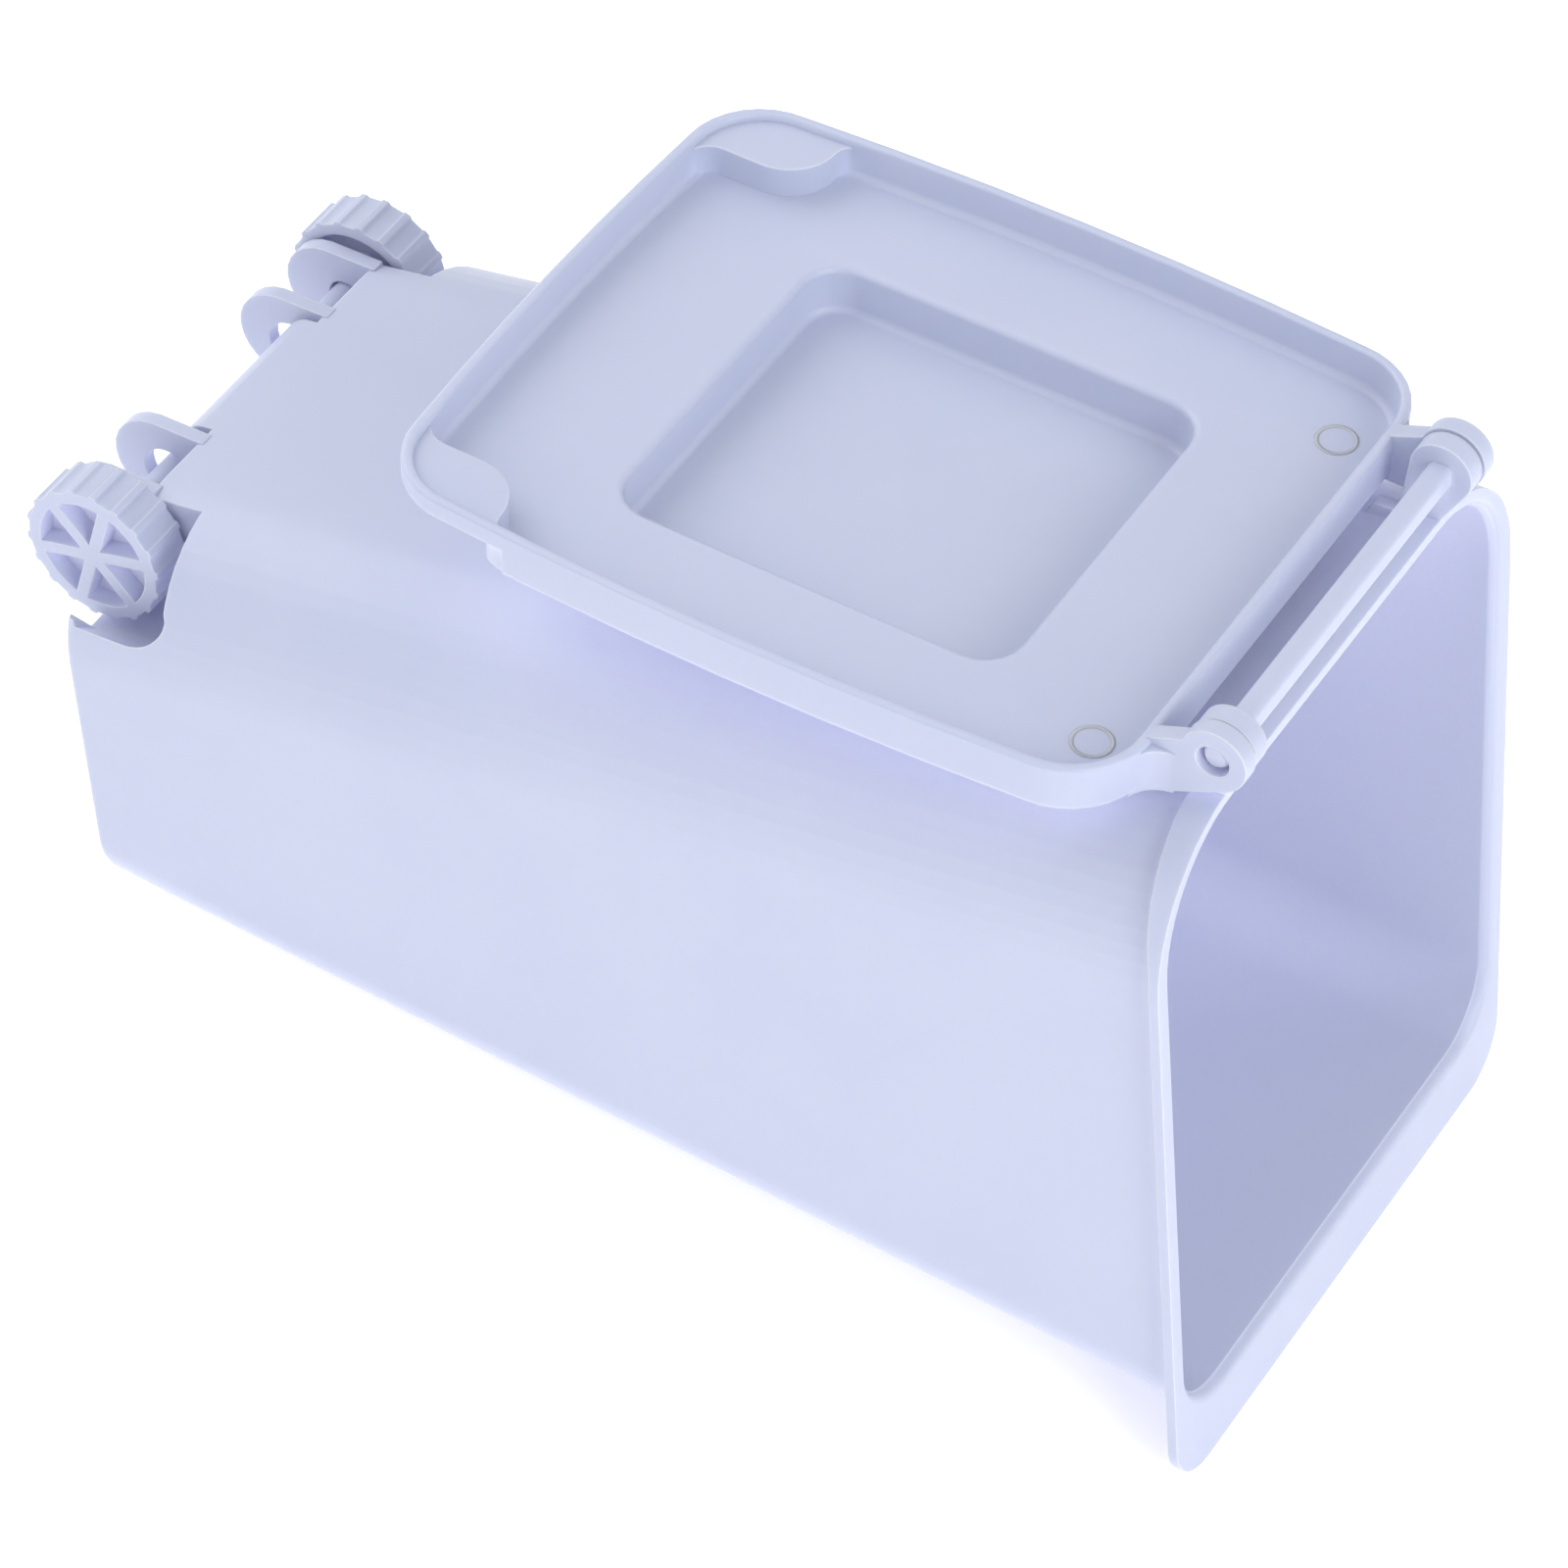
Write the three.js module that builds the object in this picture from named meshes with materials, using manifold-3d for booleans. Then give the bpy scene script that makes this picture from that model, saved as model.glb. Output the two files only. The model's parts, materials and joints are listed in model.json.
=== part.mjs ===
// Miniature wheeled bin, lying on its front wall with the lid folded right back.
// Millimetres. The bin is modelled in its own frame (origin in the mouth plane, +X out of the mouth,
// +Z towards the back wall that carries the hinge and the wheels, Y across), then leaned so that it lies
// on the front edge of its rim and the front edge of its base.
import * as THREE from 'three';
import Module from 'manifold-3d';

const wasm = await Module();
wasm.setup();

// ---------- driving dimensions ----------
const WALL = 1.3;                 // moulded wall thickness
const GAP = 0.3;                  // clearance kept between separate pieces

// Cross-sections taper towards the front wall, so each has its own half-width at the back and the front.
const TUB_LENGTH = 143.2;
const MOUTH = { backHalf: 38.6, frontHalf: 37.4, back: 46.3, front: -40, backRadius: 15, frontRadius: 9.5 };
const BASE = { backHalf: 36.4, frontHalf: 36.4, back: 31.8, front: -20.8, backRadius: 17, frontRadius: 8 };
const BASE_EDGE_ROUNDING = 1.2;
const REAR_CORNER_RADIUS = 5;     // where the back wall turns into the base
const RIM = { backHalf: 40.2, frontHalf: 38.9, back: 47.2, front: -47.7, backRadius: 17, frontRadius: 7 };
const RIM_SIDE_DEPTH = 1.2;
const RIM_BACK_DEPTH = 3.8;       // the rim deepens towards the hinge side
const RIM_DEEPENS_FROM = 33;
const MOUTH_EDGE = { depth: 1.2, flare: 1 };   // the opening's rounded inner edge

const HINGE = { x: 0, z: 53.8 };
const BAR = { width: 2.7, cornerRadius: 0.7 };
const KNUCKLE = { inner: 22.9, outer: 25.4, radius: 3.7, footBack: -5.4, footFront: -1 };
const PIN_RADIUS = 1.55;
const PIN_END = 27.2;

const LID = { length: 90.2, halfWidth: 37.4, sideBow: 1.3, frontBow: 0.8, cornerRadius: 9.5, height: 6.2 };
const LID_EDGE = { x: -7.1, z: 53.9 };   // hinge-side edge of the lid's rim when folded back
const LID_LEAN = 5.5;                    // degrees the folded lid rises towards its front edge
const SKIRT = 1.3;
const PANEL = 1.4;
const LID_FILLET = 0.9;
const DISH = { start: 20.4, end: 68.4, halfWidth: 22.7, cornerRadius: 4.5, depth: 6 };
const GRIP = { side: 29.9, start: 75.7, radius: 4.8, flare: 3.6, drop: 0.9 };
const EAR = { inner: 25.7, outer: 27.8, radius: 3.9, hole: 1.95, heel: 2.4, gusset: 3 };

const AXLE = { x: -142.2, z: 26.5 };
const WHEEL = { radius: 9, inner: 24.1, outer: 30, rim: 1.5, spoke: 1.5, web: 1.2, teeth: 18, tooth: 0.35 };
const STUB = { radius: 1.9, end: 11.1, chamfer: 0.5 };
const LUG = { x: -144.5, z: 26.9, radius: 5.9, thickness: 1.8 };
const INNER_LUG = { start: 11.8, hole: { x: -143.1, z: 26, radius: 3.3 } };
const OUTER_LUG = { start: 21.6, hole: { x: AXLE.x, z: AXLE.z, radius: 2.3 } };
const NOTCH = { front: -TUB_LENGTH + REAR_CORNER_RADIUS, floor: 22.8, inner: 10.7 };   // for the stub axles
const ARCH = {
  floor: 16.4, lip: 21.2, lipStart: 31, topFront: -132.4, front: -129.6, cornerRadius: 5.5,
  threshold: 2.6, thresholdReach: 3,
};

const STOP = { y: 23.2, thickness: 1.6, back: -9.2, front: -5.2 };

const PLASTIC = { color: 0xcdd5ee, roughness: 0.5, metalness: 0 };
const WHEEL_PLASTIC = { color: 0xc9d2ea, roughness: 0.52, metalness: 0 };

// ---------- solids ----------
// A closed solid from triangle corners and their indices.
function solid(positions, indices) {
  const mesh = new wasm.Mesh({
    numProp: 3,
    vertProperties: Float32Array.from(positions),
    triVerts: Uint32Array.from(indices),
  });
  mesh.merge();
  return new wasm.Manifold(mesh);
}

// Join matching rings of points, with flat caps on the first and the last ring.
function loft(rings) {
  const count = rings[0].length;
  const positions = rings.flat(2);
  const indices = [];
  for (let r = 0; r + 1 < rings.length; r += 1) {
    for (let i = 0; i < count; i += 1) {
      const a = r * count + i;
      const b = r * count + (i + 1) % count;
      indices.push(a, b, a + count, b, b + count, a + count);
    }
  }
  const last = (rings.length - 1) * count;
  for (let i = 1; i + 1 < count; i += 1) {
    indices.push(0, i + 1, i);
    indices.push(last, last + i, last + i + 1);
  }
  return solid(positions, indices);
}

// A closed outline pushed out along one axis, from one level to another.
// 'x': points are (y, z); 'y': points are (x, z); 'z': points are (x, y).
function prism(shape, axis, from, to, curveSteps = 6) {
  const geometry = new THREE.ExtrudeGeometry(shape, {
    depth: to - from,
    bevelEnabled: false,
    curveSegments: curveSteps,
  });
  geometry.translate(0, 0, from);
  if (axis === 'x') {
    geometry.applyMatrix4(new THREE.Matrix4().set(0, 0, 1, 0, 1, 0, 0, 0, 0, 1, 0, 0, 0, 0, 0, 1));
  }
  if (axis === 'y') {
    geometry.applyMatrix4(new THREE.Matrix4().set(1, 0, 0, 0, 0, 0, 1, 0, 0, 1, 0, 0, 0, 0, 0, 1));
  }
  return fromGeometry(geometry, axis === 'y');
}

function fromGeometry(geometry, mirrored = false) {
  const position = geometry.getAttribute('position');
  const source = geometry.getIndex();
  const order = source ? Array.from(source.array) : Array.from({ length: position.count }, (_, i) => i);
  if (mirrored) {
    for (let i = 0; i < order.length; i += 3) {
      [order[i + 1], order[i + 2]] = [order[i + 2], order[i + 1]];
    }
  }
  return solid(position.array, order);
}

// A round bar along Y; with an end radius it tapers.
function barAlongY(x, z, radius, from, to, sides = 20, endRadius = radius) {
  const ring = (y, r) => Array.from({ length: sides }, (_, i) => {
    const turn = (2 * Math.PI * i) / sides;
    return [x + r * Math.cos(turn), y, z + r * Math.sin(turn)];
  });
  const rings = from < to ? [ring(to, endRadius), ring(from, radius)] : [ring(from, radius), ring(to, endRadius)];
  return loft(rings);
}

// ---------- outlines ----------
// Rounded trapezium in the YZ plane with its own radius at the back and at the front.
function crossSection(size, shrink = 0, steps = 12) {
  const backHalf = size.backHalf - shrink;
  const frontHalf = size.frontHalf - shrink;
  const back = size.back - shrink;
  const front = size.front + shrink;
  const backRadius = size.backRadius - shrink;
  const frontRadius = size.frontRadius - shrink;
  const corners = [
    [backHalf - backRadius, back - backRadius, backRadius, 0],
    [-backHalf + backRadius, back - backRadius, backRadius, 90],
    [-frontHalf + frontRadius, front + frontRadius, frontRadius, 180],
    [frontHalf - frontRadius, front + frontRadius, frontRadius, 270],
  ];
  const points = [];
  for (const [y, z, radius, start] of corners) {
    for (let i = 0; i <= steps; i += 1) {
      const turn = THREE.MathUtils.degToRad(start + (90 * i) / steps);
      points.push([y + radius * Math.cos(turn), z + radius * Math.sin(turn)]);
    }
  }
  return points;
}

const ringAt = (x, points) => points.map(([y, z]) => [typeof x === 'function' ? x(z) : x, y, z]);

function mix(a, b, share) {
  const result = {};
  for (const key of Object.keys(a)) {
    result[key] = a[key] + (b[key] - a[key]) * share;
  }
  return result;
}

// The tub's cross-section at a distance behind the mouth.
const tubSection = (x) => mix(MOUTH, BASE, -x / TUB_LENGTH);
const backWallHeight = (x) => tubSection(x).back;

function polygon(points) {
  return new THREE.Shape(points.map(([a, b]) => new THREE.Vector2(a, b)));
}

// ---------- the tub ----------
function tubShell() {
  const rounding = BASE_EDGE_ROUNDING;
  const outside = loft([
    ringAt(-TUB_LENGTH, crossSection(BASE, rounding)),
    ringAt(-TUB_LENGTH + rounding * 0.3, crossSection(BASE, rounding * 0.3)),
    ringAt(-TUB_LENGTH + rounding, crossSection(BASE)),
    ringAt(0, crossSection(MOUTH)),
  ]);
  const inside = loft([
    ringAt(-TUB_LENGTH + WALL, crossSection(BASE, WALL)),
    ringAt(0, crossSection(MOUTH, WALL)),
    ringAt(WALL, crossSection(MOUTH, WALL)),
  ]);
  return { outside, inside };
}

function rim() {
  const depth = (z) => {
    const share = THREE.MathUtils.clamp((z - RIM_DEEPENS_FROM) / (RIM.back - RIM_DEEPENS_FROM), 0, 1);
    return -RIM_SIDE_DEPTH - (RIM_BACK_DEPTH - RIM_SIDE_DEPTH) * share;
  };
  return loft([ringAt(depth, crossSection(RIM)), ringAt(0, crossSection(RIM))]);
}

function mouthRounding() {
  const { depth, flare } = MOUTH_EDGE;
  return loft([
    ringAt(-depth, crossSection(MOUTH, WALL)),
    ringAt(-depth / 3, crossSection(MOUTH, WALL - flare / 3)),
    ringAt(0, crossSection(MOUTH, WALL - flare)),
    ringAt(WALL, crossSection(MOUTH, WALL - flare)),
  ]);
}

// The space outside the rounded corner between the back wall and the base; grow makes its liner.
function rearCorner(grow = 0) {
  const x = -TUB_LENGTH + REAR_CORNER_RADIUS;
  const z = backWallHeight(x) - REAR_CORNER_RADIUS;
  const radius = REAR_CORNER_RADIUS - grow;
  const shape = new THREE.Shape();
  shape.absarc(x, z, radius, Math.PI / 2, Math.PI, false);
  shape.lineTo(x - 20, z);
  shape.lineTo(x - 20, z + 20);
  shape.lineTo(x, z + 20);
  return prism(shape, 'y', -MOUTH.backHalf, MOUTH.backHalf, 8);
}

// A block of space on one side, between two distances from the middle plane.
function sideSpace(side, inner, outer, outline) {
  return side > 0 ? prism(outline, 'y', inner, outer) : prism(outline, 'y', -outer, -inner);
}

// Outline, in the XZ plane, of the pocket that a wheel turns in: a level floor that rounds up at its
// front and, beside the wheel, curves up to a low threshold at the base.
function archOutline(floor, threshold, grow, steps = 8) {
  const front = ARCH.front + grow;
  const radius = ARCH.cornerRadius + grow;
  const points = [
    [-TUB_LENGTH - 20, MOUTH.back],
    [-TUB_LENGTH - 20, floor + threshold],
    [-TUB_LENGTH, floor + threshold],
    [-TUB_LENGTH + ARCH.thresholdReach / 3, floor + threshold / 2],
    [-TUB_LENGTH + ARCH.thresholdReach, floor],
  ];
  for (let i = 0; i <= steps; i += 1) {
    const turn = (Math.PI / 2) * (i / steps);
    points.push([front - radius + radius * Math.sin(turn), floor + radius - radius * Math.cos(turn)]);
  }
  points.push([ARCH.topFront + grow, MOUTH.back]);
  return points;
}

// The whole pocket. Beyond the wheel its floor rises, so that it meets the side wall in a lip.
function wheelArch(side, grow = 0) {
  const inner = OUTER_LUG.start + LUG.thickness - grow;
  const outer = MOUTH.backHalf + 10;
  const floor = ARCH.floor - grow;
  const reach = (outer - ARCH.lipStart) / (BASE.backHalf - ARCH.lipStart);
  const rings = [
    [outer, archOutline(floor + (ARCH.lip - ARCH.floor) * reach, ARCH.threshold * reach, grow)],
    [ARCH.lipStart, archOutline(floor, 0, grow)],
    [inner, archOutline(floor, 0, grow)],
  ];
  const pocket = loft(rings.map(([y, points]) => points.map(([x, z]) => [x, y, z])));
  return side > 0 ? pocket : pocket.mirror([0, 1, 0]);
}

// The cut-back corner of the base that a stub axle runs across, between its two lugs.
function axleNotch(side, grow = 0) {
  const front = NOTCH.front + grow;
  const floor = NOTCH.floor - grow;
  const outline = polygon([
    [-TUB_LENGTH - 20, floor],
    [front, floor],
    [front, MOUTH.back],
    [-TUB_LENGTH - 20, MOUTH.back],
  ]);
  return sideSpace(side, NOTCH.inner - grow, OUTER_LUG.start + LUG.thickness + 0.1, outline);
}

// A rounded lug round the axle, level with the back wall, as a plate across Y.
function axleLug(side, { start, hole }) {
  const top = NOTCH.front + WALL / 2;
  const shape = new THREE.Shape();
  shape.absarc(LUG.x, LUG.z, LUG.radius, 1.5 * Math.PI, 0.5 * Math.PI, true);
  shape.lineTo(top, backWallHeight(top) - 0.05);
  shape.lineTo(top, NOTCH.floor - WALL / 2);
  shape.lineTo(-TUB_LENGTH + WALL / 2, NOTCH.floor - WALL / 2);
  shape.lineTo(-TUB_LENGTH + WALL / 2, LUG.z - LUG.radius);
  const end = start + LUG.thickness;
  const plate = sideSpace(side, start, end, shape);
  return plate.subtract(barAlongY(hole.x, hole.z, hole.radius, side * (start - 1), side * (end + 1), 28));
}

function hingeKnuckle(side) {
  const [from, to] = side > 0 ? [KNUCKLE.inner, KNUCKLE.outer] : [-KNUCKLE.outer, -KNUCKLE.inner];
  const foot = MOUTH.back - WALL / 2;
  const shape = new THREE.Shape();
  shape.absarc(HINGE.x, HINGE.z, KNUCKLE.radius, -Math.PI / 6, Math.PI, false);
  shape.lineTo(KNUCKLE.footBack, foot - 0.8);
  shape.lineTo(KNUCKLE.footFront, foot);
  const plate = prism(shape, 'y', from, to, 10);
  const tip = side * PIN_END;
  const shoulder = tip - side * 0.5;
  const pin = barAlongY(HINGE.x, HINGE.z, PIN_RADIUS, side * KNUCKLE.inner, shoulder);
  const chamfer = barAlongY(HINGE.x, HINGE.z, PIN_RADIUS, shoulder, tip, 20, PIN_RADIUS - 0.45);
  return plate.add(pin).add(chamfer);
}

function handleBar() {
  const half = BAR.width / 2;
  const flat = half - BAR.cornerRadius;
  const shape = new THREE.Shape();
  for (const [x, z, quarter] of [[flat, flat, 0], [-flat, flat, 1], [-flat, -flat, 2], [flat, -flat, 3]]) {
    const turn = (quarter * Math.PI) / 2;
    shape.absarc(HINGE.x + x, HINGE.z + z, BAR.cornerRadius, turn, turn + Math.PI / 2, false);
  }
  return prism(shape, 'y', -KNUCKLE.inner, KNUCKLE.inner, 4);
}

// Two small ribs on the back wall that the folded lid leans on.
function lidStop(y) {
  const top = LID_EDGE.z - LID.height - GAP - 0.3;
  const shape = polygon([
    [STOP.back, backWallHeight(STOP.back) - WALL / 2],
    [STOP.front + 2, backWallHeight(STOP.front) - WALL / 2],
    [STOP.front + 2, backWallHeight(STOP.front) + 0.4],
    [STOP.front, top],
    [STOP.back + 1.4, top],
  ]);
  return prism(shape, 'y', y - STOP.thickness / 2, y + STOP.thickness / 2);
}

function buildTub() {
  const { outside, inside } = tubShell();
  let cavity = inside.subtract(rearCorner(WALL));
  let body = outside.subtract(rearCorner());
  for (const side of [-1, 1]) {
    cavity = cavity.subtract(wheelArch(side, WALL)).subtract(axleNotch(side, WALL));
    body = body.subtract(wheelArch(side)).subtract(axleNotch(side));
  }
  body = body.add(rim()).subtract(cavity).subtract(mouthRounding());
  for (const side of [-1, 1]) {
    body = body.add(axleLug(side, INNER_LUG)).add(axleLug(side, OUTER_LUG));
    body = body.add(hingeKnuckle(side)).add(lidStop(side * STOP.y));
  }
  return body.add(handleBar());
}

// ---------- the lid, in its own frame: rim plane z = 0, hinge edge x = 0, front edge at -x ----------
function lidOutline(shrink = 0, steps = 8, sideSteps = 6) {
  const half = LID.halfWidth - shrink;
  const front = -LID.length + LID.frontBow + shrink;
  const radius = LID.cornerRadius - shrink;
  const bowed = (share) => 4 * share * (1 - share);
  const points = [];
  const corner = (x, y, start) => {
    for (let i = 0; i <= steps; i += 1) {
      const turn = THREE.MathUtils.degToRad(start + (90 * i) / steps);
      points.push([x + radius * Math.cos(turn), y + radius * Math.sin(turn)]);
    }
  };
  const run = (a, b, bowX, bowY) => {
    for (let i = 1; i < sideSteps; i += 1) {
      const share = i / sideSteps;
      const bulge = bowed(share);
      points.push([a[0] + (b[0] - a[0]) * share + bowX * bulge, a[1] + (b[1] - a[1]) * share + bowY * bulge]);
    }
  };
  corner(-shrink - radius, half - radius, 0);
  run([-shrink - radius, half], [front + radius, half], 0, LID.sideBow);
  corner(front + radius, half - radius, 90);
  run([front, half - radius], [front, -half + radius], -LID.frontBow, 0);
  corner(front + radius, -half + radius, 180);
  run([front + radius, -half], [-shrink - radius, -half], 0, -LID.sideBow);
  corner(-shrink - radius, -half + radius, 270);
  return points;
}

const levelRing = (z, points) => points.map(([x, y]) => [x, y, z]);

// Plan outline of the dish, wider by grow.
function dishOutline(grow, steps = 5) {
  const centre = -(DISH.start + DISH.end) / 2;
  const halfLength = (DISH.end - DISH.start) / 2 + grow;
  const half = DISH.halfWidth + grow;
  const radius = DISH.cornerRadius + grow;
  const points = [];
  for (const [signX, signY, start] of [[1, 1, 0], [-1, 1, 90], [-1, -1, 180], [1, -1, 270]]) {
    for (let i = 0; i <= steps; i += 1) {
      const turn = THREE.MathUtils.degToRad(start + (90 * i) / steps);
      const x = centre + signX * (halfLength - radius) + radius * Math.cos(turn);
      points.push([x, signY * (half - radius) + radius * Math.sin(turn)]);
    }
  }
  return points;
}

// The hollow of the dish, with a softened brim and a softened foot.
function dishHollow(brim, floor) {
  return loft([
    levelRing(floor, dishOutline(-LID_FILLET)),
    levelRing(floor + LID_FILLET * 0.3, dishOutline(-LID_FILLET * 0.3)),
    levelRing(floor + LID_FILLET, dishOutline(0)),
    levelRing(brim - LID_FILLET, dishOutline(0)),
    levelRing(brim - LID_FILLET * 0.3, dishOutline(LID_FILLET * 0.3)),
    levelRing(brim, dishOutline(LID_FILLET)),
    levelRing(1, dishOutline(LID_FILLET)),
  ]);
}

// Plan of a front corner that is raised to make a finger grip. Its edge flares where it meets the skirt.
function gripCorner(side, grow, from, to) {
  const near = -GRIP.start + grow;
  const inner = GRIP.side - grow;
  const radius = GRIP.radius + grow;
  const frontSkirt = -LID.length + SKIRT;
  const sideSkirt = LID.halfWidth + LID.sideBow / 2 - SKIRT;
  const shape = new THREE.Shape();
  shape.moveTo(-LID.length - 10, inner - GRIP.flare);
  shape.lineTo(frontSkirt, inner - GRIP.flare);
  shape.quadraticCurveTo(frontSkirt + GRIP.flare * 0.3, inner, frontSkirt + GRIP.flare, inner);
  shape.lineTo(near - radius, inner);
  shape.absarc(near - radius, inner + radius, radius, -Math.PI / 2, 0, false);
  shape.quadraticCurveTo(near, sideSkirt, near + GRIP.flare, sideSkirt + 0.4);
  shape.lineTo(near + GRIP.flare, LID.halfWidth + 10);
  shape.lineTo(-LID.length - 10, LID.halfWidth + 10);
  const block = prism(shape, 'z', from, to, 5);
  return side > 0 ? block : block.mirror([0, 1, 0]);
}

function lidEar(side) {
  const hinge = hingeInLid();
  const [from, to] = side > 0 ? [EAR.inner, EAR.outer] : [-EAR.outer, -EAR.inner];
  const heel = Math.atan2(-LID.height - hinge.z, EAR.heel - hinge.x);
  const reach = Math.hypot(LID.height + hinge.z, hinge.x - EAR.heel);
  const tangent = heel + Math.acos(EAR.radius / reach);
  const shape = new THREE.Shape();
  shape.moveTo(-SKIRT / 2, -LID.height);
  shape.lineTo(EAR.heel, -LID.height);
  shape.absarc(hinge.x, hinge.z, EAR.radius, tangent, Math.PI * 0.9, false);
  shape.lineTo(-SKIRT / 2, 0);
  const arm = prism(shape, 'y', from, to, 12);
  const gusset = new THREE.Shape();
  gusset.moveTo(-SKIRT / 2, EAR.outer - 0.2);
  gusset.lineTo(EAR.gusset, EAR.outer - 0.2);
  gusset.lineTo(EAR.gusset, EAR.outer);
  gusset.quadraticCurveTo(0.2, EAR.outer + 0.4, -SKIRT / 2, EAR.outer + EAR.gusset);
  const web = prism(gusset, 'z', -LID.height, -0.6);
  const blended = arm.add(side > 0 ? web : web.mirror([0, 1, 0]));
  return blended.subtract(barAlongY(hinge.x, hinge.z, EAR.hole, from - 4, to + 4, 24));
}

function hingeInLid() {
  const lean = THREE.MathUtils.degToRad(LID_LEAN);
  const dx = HINGE.x - LID_EDGE.x;
  const dz = HINGE.z - LID_EDGE.z;
  return { x: dx * Math.cos(lean) - dz * Math.sin(lean), z: dx * Math.sin(lean) + dz * Math.cos(lean) };
}

function buildLid() {
  const floor = -LID.height + PANEL;
  const dishFloor = floor - DISH.depth;
  const under = dishFloor - PANEL - 1;
  const gripTop = -GRIP.drop;
  const soft = LID_FILLET;
  let body = loft([
    levelRing(-LID.height, lidOutline(soft)),
    levelRing(-LID.height + soft * 0.3, lidOutline(soft * 0.3)),
    levelRing(-LID.height + soft, lidOutline()),
    levelRing(-0.3, lidOutline()),
    levelRing(0, lidOutline(0.3)),
  ]);
  body = body.add(loft([
    levelRing(dishFloor - PANEL, dishOutline(PANEL - soft)),
    levelRing(dishFloor - PANEL + soft * 0.3, dishOutline(PANEL - soft * 0.3)),
    levelRing(dishFloor - PANEL + soft, dishOutline(PANEL)),
    levelRing(-LID.height + 0.5, dishOutline(PANEL)),
  ]));
  let tray = loft([
    levelRing(floor, lidOutline(SKIRT + soft)),
    levelRing(floor + soft * 0.3, lidOutline(SKIRT + soft * 0.3)),
    levelRing(floor + soft, lidOutline(SKIRT)),
    levelRing(-0.3, lidOutline(SKIRT)),
    levelRing(0, lidOutline(SKIRT - 0.3)),
    levelRing(1, lidOutline(SKIRT - 0.3)),
  ]);
  for (const side of [-1, 1]) {
    tray = tray.subtract(gripCorner(side, PANEL, under, gripTop));
    body = body.subtract(gripCorner(side, 0, under, gripTop - PANEL));
    body = body.add(lidEar(side));
  }
  return body.subtract(tray).subtract(dishHollow(floor, dishFloor));
}

// ---------- a wheel with its stub axle, in its own frame: axle along Y, outer face at +y ----------
function treadOutline() {
  const shape = new THREE.Shape();
  const pitch = (2 * Math.PI) / WHEEL.teeth;
  const root = WHEEL.radius - WHEEL.tooth;
  for (let i = 0; i < WHEEL.teeth; i += 1) {
    const start = i * pitch;
    const corners = [[WHEEL.radius, 0], [WHEEL.radius, 0.24], [root, 0.34], [root, 0.9]];
    for (const [radius, share] of corners) {
      const turn = start + share * pitch;
      const point = [radius * Math.cos(turn), radius * Math.sin(turn)];
      if (i === 0 && share === 0) {
        shape.moveTo(...point);
      } else {
        shape.lineTo(...point);
      }
    }
  }
  return shape;
}

function buildWheel() {
  const thickness = WHEEL.outer - WHEEL.inner;
  const bore = WHEEL.radius - WHEEL.tooth - WHEEL.rim;
  const webStart = (thickness - WHEEL.web) / 2;
  let body = prism(treadOutline(), 'y', 0, thickness);
  body = body.subtract(barAlongY(0, 0, bore, webStart + WHEEL.web, thickness + 1, 36));
  body = body.subtract(barAlongY(0, 0, bore, -1, webStart, 36));
  for (let i = 0; i < 3; i += 1) {
    const half = WHEEL.spoke / 2;
    const reach = bore + WHEEL.rim / 2;
    const turn = THREE.MathUtils.degToRad(60 * i + 10);
    const along = [Math.cos(turn), Math.sin(turn)];
    const corners = [[reach, half], [-reach, half], [-reach, -half], [reach, -half]];
    const shape = polygon(corners.map(([a, b]) => [a * along[0] - b * along[1], a * along[1] + b * along[0]]));
    body = body.add(prism(shape, 'y', webStart, thickness));
  }
  const tip = STUB.end - WHEEL.inner;
  const shoulder = tip + STUB.chamfer;
  const boss = barAlongY(0, 0, STUB.radius + 1.4, 0, webStart + 0.1);
  const shaft = barAlongY(0, 0, STUB.radius, shoulder, webStart + 0.1);
  const chamfer = barAlongY(0, 0, STUB.radius - STUB.chamfer, tip, shoulder, 20, STUB.radius);
  return body.add(boss).add(shaft).add(chamfer);
}

// ---------- assembly ----------
function toMesh(name, body, look) {
  const out = body.getMesh();
  const geometry = new THREE.BufferGeometry();
  geometry.setAttribute('position', new THREE.BufferAttribute(Float32Array.from(out.vertProperties), 3));
  geometry.setIndex(Array.from(out.triVerts));
  const flat = geometry.toNonIndexed();
  flat.computeVertexNormals();
  const mesh = new THREE.Mesh(flat, new THREE.MeshStandardMaterial(look));
  mesh.name = name;
  return mesh;
}

const bin = new THREE.Group();
bin.add(toMesh('bin_tub', buildTub(), PLASTIC));

const lid = toMesh('lid', buildLid(), PLASTIC);
lid.position.set(LID_EDGE.x, 0, LID_EDGE.z);
lid.rotation.y = THREE.MathUtils.degToRad(LID_LEAN);
bin.add(lid);

const wheelBody = buildWheel();
const farWheel = toMesh('wheel_left', wheelBody, WHEEL_PLASTIC);
farWheel.position.set(AXLE.x, WHEEL.inner, AXLE.z);
bin.add(farWheel);
const nearWheel = toMesh('wheel_right', wheelBody.mirror([0, 1, 0]), WHEEL_PLASTIC);
nearWheel.position.set(AXLE.x, -WHEEL.inner, AXLE.z);
bin.add(nearWheel);

// Lean the bin onto the front edges of its rim and base, then centre it on the origin.
const restEdge = -TUB_LENGTH + BASE_EDGE_ROUNDING;
bin.rotation.y = -Math.atan2(BASE.front - RIM.front, -restEdge - RIM_SIDE_DEPTH);
const part = new THREE.Group();
part.add(bin);
part.updateMatrixWorld(true);
const extent = new THREE.Box3().setFromObject(part, true);
bin.position.set(-(extent.min.x + extent.max.x) / 2, 0, -extent.min.z);
part.updateMatrixWorld(true);

export default part;
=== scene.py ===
"""Looks for a miniature wheeled bin that lies on its front wall with its lid folded right back."""
import json
import math

import bmesh
import bpy
from mathutils import Matrix, Vector


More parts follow.
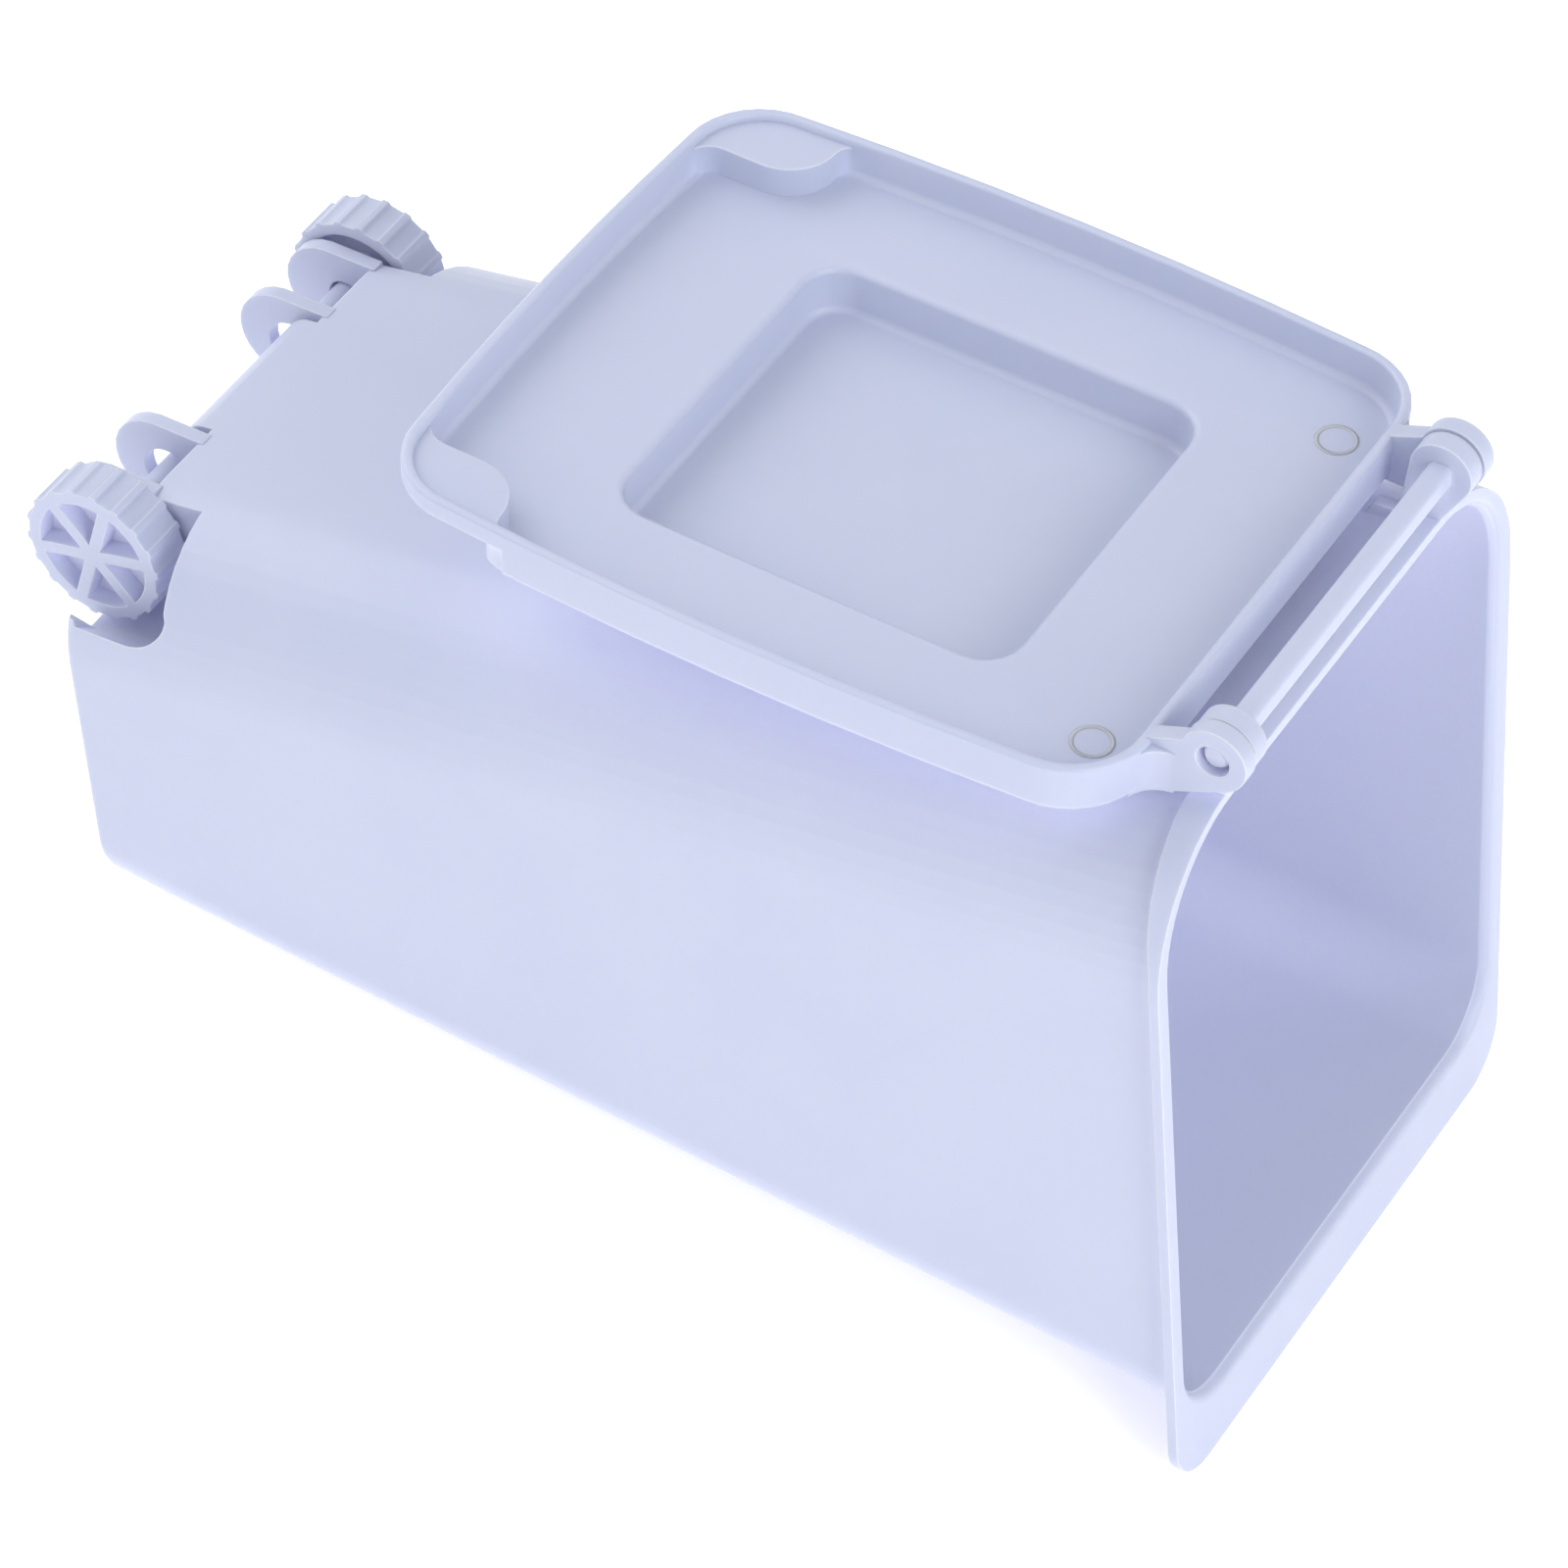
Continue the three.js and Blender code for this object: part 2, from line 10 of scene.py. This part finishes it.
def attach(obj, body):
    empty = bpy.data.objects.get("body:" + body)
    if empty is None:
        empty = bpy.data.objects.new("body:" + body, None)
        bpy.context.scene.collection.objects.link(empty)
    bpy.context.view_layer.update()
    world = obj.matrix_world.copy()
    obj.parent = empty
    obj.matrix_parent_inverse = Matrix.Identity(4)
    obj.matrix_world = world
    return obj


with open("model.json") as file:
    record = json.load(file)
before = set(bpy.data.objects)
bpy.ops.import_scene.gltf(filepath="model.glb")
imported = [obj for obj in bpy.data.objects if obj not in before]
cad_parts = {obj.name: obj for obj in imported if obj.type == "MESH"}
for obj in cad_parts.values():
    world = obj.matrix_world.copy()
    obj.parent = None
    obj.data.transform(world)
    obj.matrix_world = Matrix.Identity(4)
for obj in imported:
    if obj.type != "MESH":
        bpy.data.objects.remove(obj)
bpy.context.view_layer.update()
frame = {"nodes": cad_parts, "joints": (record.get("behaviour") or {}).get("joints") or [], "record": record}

MM = 0.001

# Camera: seen from the open end's side and from above, tipped a little, through a long lens.
AZIMUTH = 24.4
ELEVATION = 48.1
ROLL = 9.0
AIM = Vector((3.5, -1.5, 32.7)) * MM
DISTANCE = 790 * MM
LENS = 160
SENSOR = 36

# Disk lights: where each one stands, its diameter, and its power in watts. All aim at the bin's middle.
LIGHTS = {
    "left": ((-1.0, 0.15, 0.75), 1.2, 8),
    "right_high": ((0.9, -0.3, 0.9), 0.9, 4.5),
    "right_low": ((1.0, -0.35, 0.5), 0.9, 4),
    "front_fill": ((-0.5, -1.1, 0.6), 0.9, 1.5),
}
LIGHT_AIM = Vector((0, 0, 0.04))
SKY_STRENGTH = 0.68
FLOOR_REACH = 3.0
FLOOR_GLOW = 0.25               # keeps the backdrop white under the bin
PAPER_WHITE = (0.95, 0.95, 0.955)
PAPER_ROUGHNESS = 0.9
FIBRE_SCALE = 900.0

# The folded lid slopes down from its hinge-side edge. The hinge's place and the bin's lean, which the
# normal of its base shows, come from the frame. The fold, the offset and the depth are the CAD's.
HINGE = Vector(next(joint["pos_m"] for joint in frame["joints"] if joint["name"] == "lid_hinge"))
BASE_NORMAL = Vector(next(m["axis"] for m in frame["record"]["mounts"] if m["name"] == "base_face"))
LEAN = math.atan2(-BASE_NORMAL.z, -BASE_NORMAL.x)
LID_FOLD = math.radians(5.5)    # how far the folded lid rises from the bin's own long axis
EDGE_FROM_HINGE = Vector((-7.1, 0, 0.1)) * MM
LID_EDGE = HINGE + Matrix.Rotation(-LEAN, 3, "Y") @ EDGE_FROM_HINGE
LID_SLOPE = LEAN - LID_FOLD
LID_FLOOR = 4.8 * MM            # depth of the lid's inner panel below its rim

# Marks of the ejector pins inside the lid, beside its hinge corners.
MARK_BACK = 7.0 * MM
MARK_ACROSS = 27.0 * MM
MARK_RADIUS = 2.2 * MM
MARK_WIDTH = 0.35 * MM
MARK_CREST = 0.015 * MM
MARK_STEPS = 40

# Plastic: one pale lavender-blue for all four mouldings.
LAVENDER = (0.478, 0.515, 0.655)
LAVENDER_DEEP = (0.465, 0.502, 0.648)
# painted light: the lighter, bluer colour painted where the bin is covered over
PAINTED_INNER_LIGHT = (0.790, 0.805, 1.000)
# painted highlight: the near-white colour painted along outer edges
PAINTED_EDGE_HIGHLIGHT = (0.800, 0.830, 0.900)
INNER_LIGHT_REACH = 120 * MM
EDGE_ROUNDING = 0.35 * MM
EDGE_OPEN_REACH = 1.2 * MM      # how near a neighbouring face makes an edge an inner one
# the second number of each pair is the strength of the painted edge highlight
BODY_ROUGHNESS, BODY_EDGE_HIGHLIGHT = 0.38, 0.9
WHEEL_ROUGHNESS, WHEEL_EDGE_HIGHLIGHT = 0.44, 0.8
GLOSS_SPREAD = (-0.07, 0.09)    # how far the sheen moves the roughness down and up
CLOUD_SCALE = 38.0              # noise scales, in cycles a metre
SHEEN_SCALE = 210.0
GRAIN_SCALE = 2600.0
CLOUD_RANGE = (0.35, 0.62)      # noise values where the colour is the deep one and the light one

# Ranges of a ray test or a dot product, from where a mask is 0 to where it is 1.
COVERED = (0.38, 0.05)          # share of open sky above, from open to enclosed
TURNED = (0.97, 0.80)           # agreement of the softened and true normals, from flat to edge
OUTER = (0.70, 0.95)            # share of open air round an edge, from inner to outer
MASK_SAMPLES = 6

SMOOTH_BELOW = math.radians(50)
WELD_DISTANCE = 0.002 * MM
FLAT_WEIGHT = 90                # how strongly large flat faces keep their own normals

# Sockets of a Mix node that mixes colours.
MIX_SHARE, MIX_FIRST, MIX_SECOND, MIX_RESULT = 0, 6, 7, 2


# ---------- materials ----------
class Nodes:
    """A small helper that adds nodes and links them by socket name or number."""

    def __init__(self, tree):
        self.tree = tree
        self.tree.nodes.clear()

    def add(self, kind, **settings):
        node = self.tree.nodes.new(kind)
        for name, value in settings.items():
            if name in node.inputs:
                node.inputs[name].default_value = value
            else:
                setattr(node, name, value)
        return node

    def link(self, source, output, target, socket):
        self.tree.links.new(source.outputs[output], target.inputs[socket])


def new_material(name):
    material = bpy.data.materials.new(name)
    material.use_nodes = True
    return material, Nodes(material.node_tree)


def noise(nodes, place, scale, detail, roughness=0.5):
    texture = nodes.add("ShaderNodeTexNoise", Scale=scale, Detail=detail, Roughness=roughness)
    nodes.link(place, "Object", texture, "Vector")
    return texture


def remap(nodes, source, output, low, high, to_low=0.0, to_high=1.0):
    """A value moved from the range low to high into the range to_low to to_high."""
    mapped = nodes.add("ShaderNodeMapRange")
    mapped.inputs["From Min"].default_value = low
    mapped.inputs["From Max"].default_value = high
    mapped.inputs["To Min"].default_value = to_low
    mapped.inputs["To Max"].default_value = to_high
    nodes.link(source, output, mapped, "Value")
    return mapped


def mixed_colour(nodes, share, base, output, second):
    """The colour from base, mixed towards a second colour by share."""
    mix = nodes.add("ShaderNodeMix", data_type="RGBA")
    nodes.link(share, 0, mix, MIX_SHARE)
    nodes.link(base, output, mix, MIX_FIRST)
    mix.inputs[MIX_SECOND].default_value = (*second, 1)
    return mix


def flow_tint(nodes, place):
    """Slow, faint clouding of the colour, as pigment leaves in a moulding."""
    tint = nodes.add("ShaderNodeValToRGB")
    tint.color_ramp.elements[0].position = CLOUD_RANGE[0]
    tint.color_ramp.elements[0].color = (*LAVENDER_DEEP, 1)
    tint.color_ramp.elements[1].position = CLOUD_RANGE[1]
    tint.color_ramp.elements[1].color = (*LAVENDER, 1)
    nodes.link(noise(nodes, place, CLOUD_SCALE, 3.0, 0.55), "Fac", tint, "Fac")
    return tint


def painted_inner_light(nodes, tint):
    """Painted light: a bluer, lighter colour painted where the bin is covered over, in place of the light
    that thin walls let through.
    """
    upwards = nodes.add("ShaderNodeCombineXYZ", Z=1.0)
    openness = nodes.add("ShaderNodeAmbientOcclusion", samples=MASK_SAMPLES, Distance=INNER_LIGHT_REACH)
    nodes.link(upwards, "Vector", openness, "Normal")
    enclosed = remap(nodes, openness, "AO", *COVERED)
    return mixed_colour(nodes, enclosed, tint, "Color", PAINTED_INNER_LIGHT)


def edge_mask(nodes, softened):
    """Mask of the painted edge highlight: 1 on outer edges, where the softened surface turns away from the
    true one, and 0 on flats.
    """
    true_surface = nodes.add("ShaderNodeNewGeometry")
    agree = nodes.add("ShaderNodeVectorMath", operation="DOT_PRODUCT")
    nodes.link(softened, "Normal", agree, 0)
    nodes.link(true_surface, "Normal", agree, 1)
    turned = remap(nodes, agree, "Value", *TURNED)
    openness = nodes.add("ShaderNodeAmbientOcclusion", samples=MASK_SAMPLES, Distance=EDGE_OPEN_REACH)
    outer = remap(nodes, openness, "AO", *OUTER)
    both = nodes.add("ShaderNodeMath", operation="MULTIPLY")
    nodes.link(turned, "Result", both, 0)
    nodes.link(outer, "Result", both, 1)
    return both


def moulded_plastic(name, roughness, edge_highlight_strength):
    """Satin, slightly translucent moulded plastic with flow marks, fine grain, and a painted highlight along
    outer edges.
    """
    material, nodes = new_material(name)
    place = nodes.add("ShaderNodeTexCoord")

    softened = nodes.add("ShaderNodeBevel", samples=MASK_SAMPLES, Radius=EDGE_ROUNDING)
    # painted highlight: outer edges are mixed towards a near-white colour
    painted_highlight_share = nodes.add("ShaderNodeMath", operation="MULTIPLY")
    nodes.link(edge_mask(nodes, softened), "Value", painted_highlight_share, 0)
    painted_highlight_share.inputs[1].default_value = edge_highlight_strength
    # painted light: covered places are mixed towards a lighter, bluer colour
    lit = painted_inner_light(nodes, flow_tint(nodes, place))
    colour = mixed_colour(nodes, painted_highlight_share, lit, MIX_RESULT, PAINTED_EDGE_HIGHLIGHT)

    sheen = noise(nodes, place, SHEEN_SCALE, 5.0, 0.6)
    glossiest, dullest = (roughness + change for change in GLOSS_SPREAD)
    gloss = remap(nodes, sheen, "Fac", 0.0, 1.0, glossiest, dullest)

    bump = nodes.add("ShaderNodeBump", Strength=0.05, Distance=0.05 * MM)
    nodes.link(noise(nodes, place, GRAIN_SCALE, 2.0), "Fac", bump, "Height")
    nodes.link(softened, "Normal", bump, "Normal")

    surface = nodes.add("ShaderNodeBsdfPrincipled", IOR=1.47)
    surface.inputs["Subsurface Weight"].default_value = 0.25
    surface.inputs["Subsurface Radius"].default_value = (0.7, 0.8, 1.0)
    surface.inputs["Subsurface Scale"].default_value = 2.0 * MM
    nodes.link(colour, MIX_RESULT, surface, "Base Color")
    nodes.link(gloss, "Result", surface, "Roughness")
    nodes.link(bump, "Normal", surface, "Normal")
    output = nodes.add("ShaderNodeOutputMaterial")
    nodes.link(surface, "BSDF", output, "Surface")
    return material


def floor_paper():
    """Plain white backdrop paper that glows a little."""
    material, nodes = new_material("floor_paper")
    place = nodes.add("ShaderNodeTexCoord")
    bump = nodes.add("ShaderNodeBump", Strength=0.04, Distance=0.1 * MM)
    nodes.link(noise(nodes, place, FIBRE_SCALE, 3.0), "Fac", bump, "Height")
    surface = nodes.add("ShaderNodeBsdfPrincipled", Roughness=PAPER_ROUGHNESS)
    surface.inputs["Base Color"].default_value = (*PAPER_WHITE, 1)
    surface.inputs["Emission Color"].default_value = (1, 1, 1, 1)
    surface.inputs["Emission Strength"].default_value = FLOOR_GLOW
    nodes.link(bump, "Normal", surface, "Normal")
    output = nodes.add("ShaderNodeOutputMaterial")
    nodes.link(surface, "BSDF", output, "Surface")
    return material


# ---------- the CAD nodes ----------
def smoothing_group():
    """Geometry nodes that join the faces up and shade them smooth, except over real edges."""
    group = bpy.data.node_groups.new("smooth_mouldings", "GeometryNodeTree")
    group.interface.new_socket("Geometry", in_out="INPUT", socket_type="NodeSocketGeometry")
    group.interface.new_socket("Geometry", in_out="OUTPUT", socket_type="NodeSocketGeometry")
    nodes = Nodes(group)
    start = nodes.add("NodeGroupInput")
    joined = nodes.add("GeometryNodeMergeByDistance", Distance=WELD_DISTANCE)
    plain = nodes.add("GeometryNodeRemoveAttribute", Name="custom_normal")
    faces = nodes.add("GeometryNodeSetShadeSmooth", domain="FACE")
    edges = nodes.add("GeometryNodeSetShadeSmooth", domain="EDGE")
    bend = nodes.add("GeometryNodeInputMeshEdgeAngle")
    gentle = nodes.add("ShaderNodeMath", operation="LESS_THAN")
    gentle.inputs[1].default_value = SMOOTH_BELOW
    end = nodes.add("NodeGroupOutput")
    nodes.link(start, 0, joined, 0)
    nodes.link(joined, 0, plain, 0)
    nodes.link(plain, 0, faces, 0)
    nodes.link(faces, 0, edges, 0)
    nodes.link(bend, "Unsigned Angle", gentle, 0)
    nodes.link(gentle, 0, edges, "Shade Smooth")
    nodes.link(edges, 0, end, 0)
    return group


def dress(node, material, smoothing):
    """Give a CAD node its material and shade its curved faces smooth."""
    piece = frame["nodes"][node]
    piece.data.materials.clear()
    piece.data.materials.append(material)
    piece.modifiers.new("smooth", "NODES").node_group = smoothing
    weighted = piece.modifiers.new("flats stay flat", "WEIGHTED_NORMAL")
    weighted.keep_sharp = True
    weighted.weight = FLAT_WEIGHT


# ---------- small marks left by the mould ----------
def object_from(name, build, material):
    mesh = bpy.data.meshes.new(name)
    made = bmesh.new()
    build(made)
    made.to_mesh(mesh)
    made.free()
    mesh.materials.append(material)
    piece = bpy.data.objects.new(name, mesh)
    bpy.context.scene.collection.objects.link(piece)
    return piece


def on_lid(back, across, height):
    """A point on the folded lid: back from its hinge edge, across, and above its inner panel."""
    along = Vector((-math.cos(LID_SLOPE), 0, -math.sin(LID_SLOPE)))
    out = Vector((-math.sin(LID_SLOPE), 0, math.cos(LID_SLOPE)))
    return LID_EDGE + along * back + Vector((0, across, 0)) + out * (height - LID_FLOOR)


def ejector_mark(name, across, material):
    """The faint raised ring that an ejector pin leaves on the inside of a moulding."""
    profile = [
        (-MARK_WIDTH, -MARK_CREST),
        (-MARK_WIDTH / 2, MARK_CREST),
        (MARK_WIDTH / 2, MARK_CREST),
        (MARK_WIDTH, -MARK_CREST),
    ]

    def ring_at(made, turn):
        ring = []
        for out, height in profile:
            reach = MARK_RADIUS + out
            place = on_lid(MARK_BACK + reach * math.cos(turn), across + reach * math.sin(turn), height)
            ring.append(made.verts.new(place))
        return ring

    def build(made):
        rings = [ring_at(made, 2 * math.pi * i / MARK_STEPS) for i in range(MARK_STEPS)]
        for i, here in enumerate(rings):
            there = rings[(i + 1) % MARK_STEPS]
            for k in range(len(profile)):
                after = (k + 1) % len(profile)
                made.faces.new((here[k], there[k], there[after], here[after]))
        bmesh.ops.recalc_face_normals(made, faces=made.faces)
        for face in made.faces:
            face.smooth = True

    mark = object_from(name, build, material)
    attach(mark, "lid")


# ---------- stage ----------
def add_floor():
    def build(made):
        corners = (
            (-FLOOR_REACH, -FLOOR_REACH),
            (FLOOR_REACH, -FLOOR_REACH),
            (FLOOR_REACH, FLOOR_REACH),
            (-FLOOR_REACH, FLOOR_REACH),
        )
        made.faces.new([made.verts.new((x, y, 0)) for x, y in corners])

    object_from("floor", build, floor_paper())


def add_light(name, place, size, power):
    data = bpy.data.lights.new(name, "AREA")
    data.shape = "DISK"
    data.size = size
    data.energy = power
    light = bpy.data.objects.new(name, data)
    light.location = place
    light.rotation_mode = "QUATERNION"
    light.rotation_quaternion = (LIGHT_AIM - Vector(place)).to_track_quat("-Z", "Y")
    bpy.context.scene.collection.objects.link(light)


def add_sky():
    """Even white light from all round."""
    world = bpy.data.worlds.new("studio")
    world.use_nodes = True
    background = world.node_tree.nodes["Background"]
    background.inputs["Color"].default_value = (1, 1, 1, 1)
    background.inputs["Strength"].default_value = SKY_STRENGTH
    bpy.context.scene.world = world


def add_camera():
    azimuth = math.radians(AZIMUTH)
    elevation = math.radians(ELEVATION)
    back = Vector((
        math.sin(azimuth) * math.cos(elevation),
        -math.cos(azimuth) * math.cos(elevation),
        math.sin(elevation),
    ))
    right = Vector((math.cos(azimuth), math.sin(azimuth), 0))
    up = back.cross(right)
    roll = math.radians(ROLL)
    tilted_right = right * math.cos(roll) + up * math.sin(roll)
    tilted_up = back.cross(tilted_right)
    data = bpy.data.cameras.new("camera")
    data.lens = LENS
    data.sensor_width = SENSOR
    camera = bpy.data.objects.new("camera", data)
    turn = Matrix((tilted_right, tilted_up, back)).transposed().to_4x4()
    camera.matrix_world = Matrix.Translation(AIM + back * DISTANCE) @ turn
    bpy.context.scene.collection.objects.link(camera)
    bpy.context.scene.camera = camera


add_camera()
add_floor()
for light_name, (light_place, light_size, light_power) in LIGHTS.items():
    add_light(light_name, light_place, light_size, light_power)
add_sky()
bpy.context.scene.view_settings.view_transform = "Standard"

body_plastic = moulded_plastic("body_plastic", BODY_ROUGHNESS, BODY_EDGE_HIGHLIGHT)
wheel_plastic = moulded_plastic("wheel_plastic", WHEEL_ROUGHNESS, WHEEL_EDGE_HIGHLIGHT)
smoothing = smoothing_group()
dress("bin_tub", body_plastic, smoothing)
dress("lid", body_plastic, smoothing)
dress("wheel_left", wheel_plastic, smoothing)
dress("wheel_right", wheel_plastic, smoothing)
for side, side_name in ((-1, "right"), (1, "left")):
    ejector_mark(f"ejector_mark_{side_name}", side * MARK_ACROSS, body_plastic)
